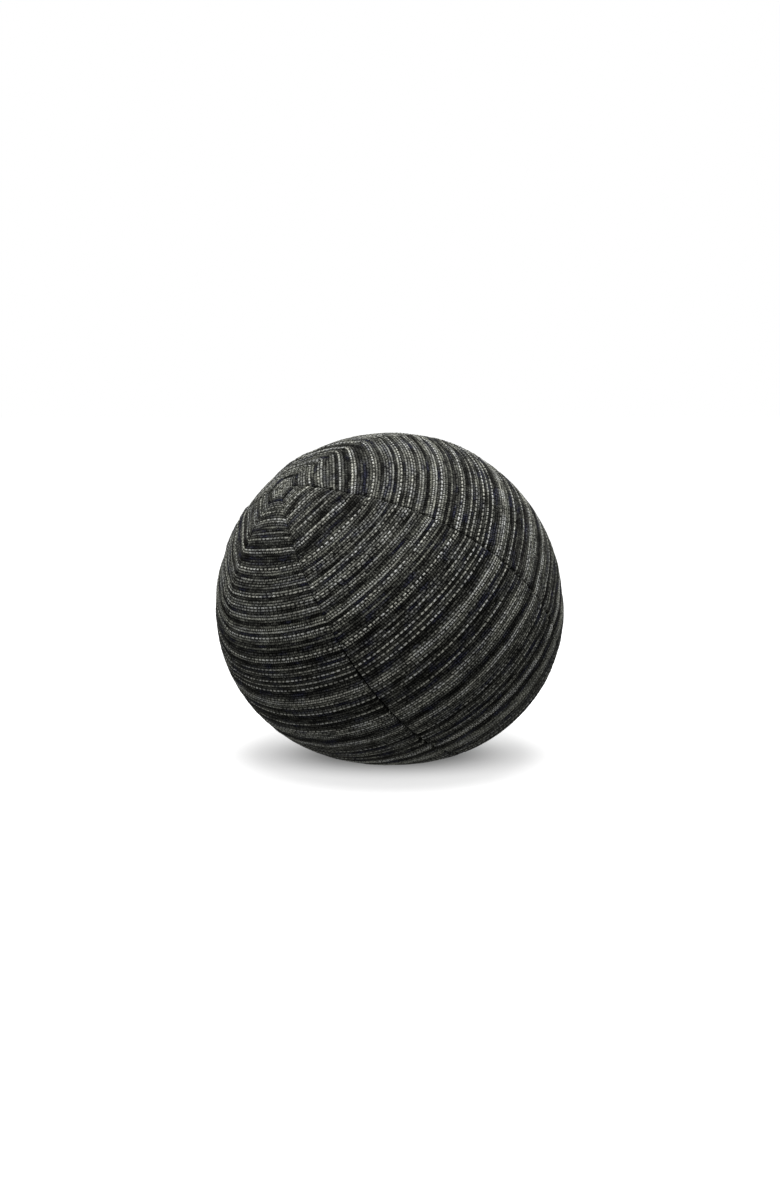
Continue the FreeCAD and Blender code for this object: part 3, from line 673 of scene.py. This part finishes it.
def worn_surface(name, dark, light, roughness, metallic):
    """A moulded or cast surface with fine grain, its finish uneven from handling."""
    n = Nodes(name)
    place = n.add("TexCoord").outputs["Object"]
    grain = n.noise(place, 2500.0, 3.0)
    wear = n.noise(place, 300.0, 4.0)
    colour = n.colour(n.range(wear, 0.35, 0.7), dark, light)
    return n.finish(colour, n.range(wear, 0.3, 0.7, roughness, roughness + 0.15), grain, depth=0.00002,
                    Metallic=metallic)


# ---------------------------------------------------------------- the zip's arc

ARC_UP, ARC_OUT, ARC_RADIUS = 6.3 * MM, -1.6 * MM, 126.7 * MM
ZIP_TURNS = (-28.0, 75.0)
BAY_HALF_WIDTH, BAY_DEPTH, BAY_OVERRUN = 11.0 * MM, 10.7 * MM, 2.4
PAD_DEPTH = 3.6 * MM
ZIP_OUT = math.cos(math.radians(ZIP_SEAM_TURN)) * ACROSS + math.sin(math.radians(ZIP_SEAM_TURN)) * ASIDE
ZIP_ASIDE = np.cross(AXIS, ZIP_OUT)
ARC_CENTRE = CENTRE + ARC_OUT * ZIP_OUT + ARC_UP * AXIS


def zip_radial(turn):
    """Unit vectors from the arc's centre, at turns in degrees along the zip."""
    q = np.radians(turn)
    return np.cos(q)[..., None] * ZIP_OUT - np.sin(q)[..., None] * AXIS


def zip_point(turn, depth, aside):
    """Point this deep below the zip's arc and this far to its right, in metres."""
    reach = (ARC_RADIUS - depth)[..., None]
    return ARC_CENTRE + reach * zip_radial(turn) + aside[..., None] * ZIP_ASIDE


def bay_share(point):
    """1 inside the pad's channel behind the zip, 0 outside it."""
    aside = np.abs((point - CENTRE) @ ZIP_ASIDE)
    inward = point - ARC_CENTRE
    turn = np.degrees(np.arctan2(-(inward @ AXIS), inward @ ZIP_OUT))
    first, last = ZIP_TURNS[0] - BAY_OVERRUN, ZIP_TURNS[1] + BAY_OVERRUN
    along = smooth(turn, first - 0.6, first) * smooth(-turn, -last - 0.6, -last)
    return along * (1.0 - smooth(aside, BAY_HALF_WIDTH - 0.3 * MM, BAY_HALF_WIDTH + 0.7 * MM))


def sunk_skin(colatitude, turn, depth):
    """The cushion's outline this deep inside, sunk further into the channel behind the zip."""
    point, normal = skin(polar_directions(colatitude, turn))
    extra = (BAY_DEPTH - PAD_DEPTH) * bay_share(point)
    return point - (depth + extra)[..., None] * normal


# ---------------------------------------------------------------- stitches

def build_stitches(name, path, length, material, node, radius=0.14 * MM):
    """A row of stitches along a path. path gives points and outward directions at shares from 0 to 1."""
    stitch, pitch = 2.6 * MM, 3.2 * MM
    count = int(length / pitch)
    sides, rings = 6, 7
    t = np.linspace(-0.5, 0.5, rings)
    shares = (np.arange(count)[:, None] + 0.5) / count + t[None, :] * stitch / length
    point, outward = path(np.clip(shares, 0.0, 1.0))
    aside = np.cross(unit(np.gradient(point, axis=1)), outward)
    taper = np.maximum(1.0 - (2.0 * np.abs(t)) ** 4, 0.12) * radius
    angle = np.arange(sides) * 2.0 * math.pi / sides
    ring = np.cos(angle)[:, None] * aside[:, :, None, :] + np.sin(angle)[:, None] * outward[:, :, None, :]
    points = point[:, :, None, :] + taper[None, :, None, None] * ring
    faces = []
    for index in range(count):
        start = index * rings * sides
        faces += [[start + corner for corner in face] for face in tube_faces(rings, sides)]
    piece = make_mesh(name, points.reshape(-1, 3).tolist(), faces, material)
    around = np.broadcast_to(angle, (count, rings, sides))
    along = np.broadcast_to((shares * length / MM)[:, :, None], (count, rings, sides))
    cloth = np.stack([around, along, np.zeros((count, rings, sides))], axis=-1)
    set_attribute(piece, "cloth", cloth.reshape(-1, 3))
    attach(piece, "cushion")
    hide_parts(node)
    return piece


def seam_path(turn, first, last, depth, ways=directions):
    """Path down a seam from one colatitude to another, this deep below the cushion's outline."""
    def path(share):
        colatitude = first + (last - first) * share
        point, normal = skin(ways(colatitude, np.full(share.shape, turn)))
        return point - depth * normal, normal
    return path


def zip_path(side, offset, depth):
    """Path along the zip on one side of it."""
    def path(share):
        turn = ZIP_TURNS[0] + (ZIP_TURNS[1] - ZIP_TURNS[0]) * share
        point = zip_point(turn, np.full(share.shape, depth), np.full(share.shape, side * offset))
        return point, zip_radial(turn)
    return path


def join_pieces(pieces, name):
    """One object out of several, under this name."""
    with bpy.context.temp_override(active_object=pieces[0], selected_editable_objects=pieces):
        bpy.ops.object.join()
    pieces[0].name = name


# ---------------------------------------------------------------- pad, label and tapes

def build_shell(name, colatitude, turn, outer, inner, material, node):
    """A piece of cloth between an outer and an inner grid of points, closed along its edges."""
    rows, columns = colatitude.shape
    loops = np.concatenate([outer, inner[:, ::-1]], axis=1)
    piece = make_mesh(name, loops.reshape(-1, 3).tolist(), tube_faces(rows, 2 * columns), material)
    across = BALL_RADIUS * np.sin(np.radians(colatitude)) * np.radians(turn) / MM
    along = BALL_RADIUS * np.radians(colatitude) / MM
    cloth = np.stack([across, along, np.zeros_like(along)], axis=-1)
    set_attribute(piece, "cloth", np.concatenate([cloth, cloth[:, ::-1]], axis=1).reshape(-1, 3))
    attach(piece, "cushion")
    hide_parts(node)


def build_liner_gore(index, material):
    """One gore of the pad's lining, slightly gathered, with the channel where the zip passes."""
    rng = np.random.default_rng(300 + index)
    first_turn = ZIP_SEAM_TURN + HALF_GORE + 2.0 * HALF_GORE * index
    columns = np.linspace(0.1, 2.0 * HALF_GORE - 0.1, 150)
    colatitude, turn = np.meshgrid(np.linspace(0.6, 179.4, 300), first_turn + columns, indexing="ij")
    from_seam = np.radians(HALF_GORE - np.abs(columns - HALF_GORE))
    to_seam = BALL_RADIUS * np.sin(np.radians(colatitude)) * from_seam
    gather = 0.5 + 0.5 * value_noise(colatitude.shape, (90, 5), rng)
    slack = 0.16 * (1.0 + value_noise(colatitude.shape, (12, 6), rng))
    slack = slack + 0.3 * gather * np.exp(-to_seam / (6.0 * MM))
    outer = sunk_skin(colatitude, turn, PAD_DEPTH + (0.05 + slack) * MM)
    inner = sunk_skin(colatitude, turn, PAD_DEPTH + (0.25 + slack) * MM)
    node = f"liner_gore_{index + 1}"
    build_shell(f"lining_{index + 1}", colatitude, turn, outer, inner, material, node)


def build_filling(material):
    """The pad's polyester filling, a tufted ball with the zip's channel in it."""
    rng = np.random.default_rng(400)
    colatitude, turn = np.meshgrid(
        np.linspace(0.6, 179.4, 240), np.linspace(0, 360, 400, endpoint=False), indexing="ij")
    fade = np.sin(np.radians(colatitude))
    tufts = value_noise(colatitude.shape, (30, 60), rng) + 0.5 * value_noise(colatitude.shape, (80, 160), rng)
    near_start = np.minimum(turn, 360.0 - turn)
    tufts = tufts * fade * smooth(near_start, 0.0, 6.0)
    points = sunk_skin(colatitude, turn, PAD_DEPTH + (2.0 + 0.7 * tufts) * MM)
    faces = tube_faces(*colatitude.shape)
    piece = make_mesh("filling_wool", points.reshape(-1, 3).tolist(), faces, material)
    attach(piece, "cushion")
    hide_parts("fibre_filling")


def build_label(material):
    """The blank care label, a folded strip sewn into the seam opposite the zip."""
    width, height, seam_offset = 25.0 * MM, 38.0 * MM, 0.6 * MM
    turn_along = ZIP_SEAM_TURN + 180.0
    u, v = np.meshgrid(np.linspace(0, 1, 60), np.linspace(-0.5, 0.5, 90), indexing="xy")
    colatitude = 100.0 + np.degrees(v * height / BALL_RADIUS)
    turn = turn_along + np.degrees((seam_offset + u * width) / (BALL_RADIUS * np.sin(np.radians(colatitude))))
    point, normal = skin(polar_directions(colatitude, turn))
    hem = 0.05 * np.exp(-((np.abs(v) - 0.46) * 70.0) ** 2)
    wave = 0.05 * np.sin(9.0 * u + 4.0 * v)
    outer = point - ((3.02 + wave + hem) * MM)[..., None] * normal
    inner = point - ((3.28 + wave - hem) * MM)[..., None] * normal
    build_shell(
        "label_cloth", colatitude, turn, outer, inner, material, "care_label")


def build_tape(name, side, material):
    """One zip tape, a woven strip bent along the zip."""
    inner_edge, width, depth, thick, overrun = 0.7 * MM, 9.0 * MM, 5.6 * MM, 0.5 * MM, 1.2
    turns = np.linspace(ZIP_TURNS[0] - overrun, ZIP_TURNS[1] + overrun, 500)
    turn, share = np.meshgrid(turns, np.linspace(0.0, 1.0, 28), indexing="ij")
    aside = side * (inner_edge + share * width)
    rib = 0.04 * MM * np.sin(share * 2.0 * math.pi * 8.0)
    sag = 0.05 * MM * np.sin(turn * 0.35) * share
    outer = zip_point(turn, depth + 0.06 * MM + rib + sag, aside)
    inner = zip_point(turn, depth + thick - 0.08 * MM + rib + sag, aside)
    rows, columns = turn.shape
    loops = np.concatenate([outer, inner[:, ::-1]], axis=1)
    points = loops.reshape(-1, 3).tolist()
    piece = make_mesh(f"tape_{name}_woven", points, tube_faces(rows, 2 * columns), material)
    cloth = np.stack([aside / MM, ARC_RADIUS * np.radians(turn) / MM, np.zeros_like(turn)], axis=-1)
    set_attribute(piece, "cloth", np.concatenate([cloth, cloth[:, ::-1]], axis=1).reshape(-1, 3))
    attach(piece, "cushion")
    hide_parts(f"zip_tape_{name}")


# ---------------------------------------------------------------- assembly

cover_material = tweed()
lining_material = plain_cloth(
    "lining_weave", (0.66, 0.65, 0.61, 1.0), (0.74, 0.73, 0.69, 1.0), 0.8, 0.82, 1.05)
label_material = plain_cloth("label_satin", (0.80, 0.80, 0.79, 1.0), (0.85, 0.85, 0.84, 1.0), 0.5, 0.9, 1.03)
cover_thread = twisted_thread("cover_thread", (0.006, 0.006, 0.006, 1.0), (0.045, 0.045, 0.042, 1.0))
lining_thread = twisted_thread("lining_thread", (0.42, 0.41, 0.38, 1.0), (0.75, 0.74, 0.70, 1.0))
tape_material = herringbone_tape()
coil_material = worn_surface("zip_coil", (0.010, 0.010, 0.011, 1.0), (0.030, 0.030, 0.032, 1.0), 0.35, 0.0)
metal_material = worn_surface("dark_metal", (0.060, 0.058, 0.056, 1.0), (0.150, 0.147, 0.142, 1.0), 0.32, 0.9)
painted_material = worn_surface(
    "painted_slider", (0.012, 0.012, 0.013, 1.0), (0.030, 0.030, 0.031, 1.0), 0.30, 0.4)

for gore_index in range(GORES):
    build_cover_gore(gore_index, cover_material)
    build_liner_gore(gore_index, lining_material)
    thread_turn = ZIP_SEAM_TURN + 2.0 * HALF_GORE * gore_index
    spans = [(1.2, 178.8)]
    if gore_index == 0:
        spans = [(1.2, ZIP_COLATITUDES[0] - 3.5), (ZIP_COLATITUDES[1] + 4.0, 178.8)]
    threads = []
    for first, last in spans:
        run = BALL_RADIUS * math.radians(last - first)
        threads.append(build_stitches(
            f"seam_{gore_index + 1}_stitches", seam_path(thread_turn, first, last, 2.98 * MM), run,
            cover_thread, f"seam_thread_{gore_index + 1}"))
    if len(threads) > 1:
        join_pieces(threads, f"seam_{gore_index + 1}_stitches")

liner_stitches = []
for gore_index in range(GORES):
    thread_turn = ZIP_SEAM_TURN + HALF_GORE + 2.0 * HALF_GORE * gore_index
    path = seam_path(thread_turn, 1.5, 178.5, 4.75 * MM, polar_directions)
    liner_stitches.append(build_stitches(
        f"lining_stitches_{gore_index + 1}", path, BALL_RADIUS * math.radians(177.0),
        lining_thread, "liner_seam_threads"))
join_pieces(liner_stitches, "lining_stitches")

build_filling(fibre_wool())
build_label(label_material)
for side_name, side in (("left", -1.0), ("right", 1.0)):
    build_tape(side_name, side, tape_material)
    build_stitches(
        f"tape_{side_name}_stitches", zip_path(side, 6.75 * MM, 6.25 * MM),
        (ARC_RADIUS - 6.25 * MM) * math.radians(ZIP_TURNS[1] - ZIP_TURNS[0]),
        cover_thread, f"zip_stitching_{side_name}", radius=0.12 * MM)

KEPT_FINISHES = {
    "zip_teeth_left": coil_material, "zip_teeth_right": coil_material,
    "zip_closed_stops": metal_material, "zip_open_stop": metal_material,
    "zip_slider": painted_material, "zip_pull_tab": painted_material,
}
for node_name, finish in KEPT_FINISHES.items():
    node = bpy.data.objects[node_name]
    node.data.materials.clear()
    node.data.materials.append(finish)


# ---------------------------------------------------------------- floor, light and camera

def build_stage():
    """A pale floor with a faint painted glow of its own, which fades out in an oval under the ball to paint
    the shadow there.
    """
    half_side = 60.0
    shadow_core, shadow_reach, floor_glow = 0.01, 0.135, 0.66
    material = Nodes("pale_floor")
    place = material.add("TexCoord").outputs["Object"]
    shade = material.range(material.noise(place, 40.0), 0.0, 1.0, 0.60, 0.62)
    oval = material.add("VectorMath", operation="MULTIPLY")
    material.feed(oval.inputs[0], place)
    oval.inputs[1].default_value = (1.0, 1.7, 1.0)
    away = material.add("VectorMath", operation="LENGTH")
    material.feed(away.inputs[0], oval.outputs["Vector"])
    # painted light and painted shadow: the floor's emission rises from none at shadow_core to floor_glow
    # beyond shadow_reach
    glow = material.range(away.outputs["Value"], shadow_core, shadow_reach, 0.0, floor_glow)
    floor_material = material.finish(
        material.join(shade, shade, shade), 0.9, Specular_IOR_Level=0.0,
        Emission_Color=(1.0, 1.0, 1.0, 1.0), Emission_Strength=glow)
    corners = [(x * half_side, y * half_side, 0.0) for x, y in ((-1, -1), (1, -1), (1, 1), (-1, 1))]
    floor = make_mesh("floor", corners, [(0, 1, 2, 3)], floor_material)
    floor.visible_diffuse = False
    floor.visible_glossy = False


def build_world():
    """Soft light from above, less from below, and a plain white background."""
    world = bpy.data.worlds.new("studio")
    bpy.context.scene.world = world
    world.use_nodes = True
    tree = world.node_tree
    tree.nodes.clear()
    coordinate = tree.nodes.new("ShaderNodeTexCoord")
    split = tree.nodes.new("ShaderNodeSeparateXYZ")
    ramp = tree.nodes.new("ShaderNodeMapRange")
    for name, value in (("From Min", -0.3), ("From Max", 0.9), ("To Min", 0.42), ("To Max", 1.0)):
        ramp.inputs[name].default_value = value
    light = tree.nodes.new("ShaderNodeBackground")
    backdrop = tree.nodes.new("ShaderNodeBackground")
    backdrop.inputs["Strength"].default_value = 1.0
    path = tree.nodes.new("ShaderNodeLightPath")
    mix = tree.nodes.new("ShaderNodeMixShader")
    output = tree.nodes.new("ShaderNodeOutputWorld")
    backdrop.inputs["Color"].default_value = (1.0, 1.0, 1.0, 1.0)
    tree.links.new(coordinate.outputs["Generated"], split.inputs[0])
    tree.links.new(split.outputs["Z"], ramp.inputs["Value"])
    tree.links.new(ramp.outputs[0], light.inputs["Strength"])
    tree.links.new(path.outputs["Is Camera Ray"], mix.inputs[0])
    tree.links.new(light.outputs[0], mix.inputs[1])
    tree.links.new(backdrop.outputs[0], mix.inputs[2])
    tree.links.new(mix.outputs[0], output.inputs[0])


def add_softbox(name, location, size, watts):
    """A round area light aimed at the ball's centre."""
    light = bpy.data.lights.new(name, "AREA")
    light.shape = "DISK"
    light.size = size
    light.energy = watts
    lamp = bpy.data.objects.new(name, light)
    lamp.location = location
    aim = Vector((0.0, 0.0, CENTRE_HEIGHT)) - Vector(location)
    lamp.rotation_euler = aim.to_track_quat("-Z", "Y").to_euler()
    bpy.context.scene.collection.objects.link(lamp)


def build_camera():
    """Eight radii from the ball's centre, 8 degrees above it, looking just over its centre."""
    distance = 8.0 * BALL_RADIUS
    elevation = math.radians(8.0)
    aim_above = 5.3 * MM
    data = bpy.data.cameras.new("camera")
    data.sensor_width = 36.0
    data.lens = 41.29
    data.clip_start = 0.01
    camera = bpy.data.objects.new("camera", data)
    ball = Vector((0.0, 0.0, CENTRE_HEIGHT))
    camera.location = ball + distance * Vector((0.0, -math.cos(elevation), math.sin(elevation)))
    aim = ball + Vector((0.0, 0.0, aim_above)) - camera.location
    camera.rotation_euler = aim.to_track_quat("-Z", "Y").to_euler()
    bpy.context.scene.collection.objects.link(camera)
    bpy.context.scene.camera = camera


build_stage()
build_world()
add_softbox("overhead_softbox", location=(0.0, -0.1, 1.5), size=1.2, watts=23.0)
build_camera()
scene = bpy.context.scene
scene.view_settings.view_transform = "Standard"
scene.view_settings.look = "None"
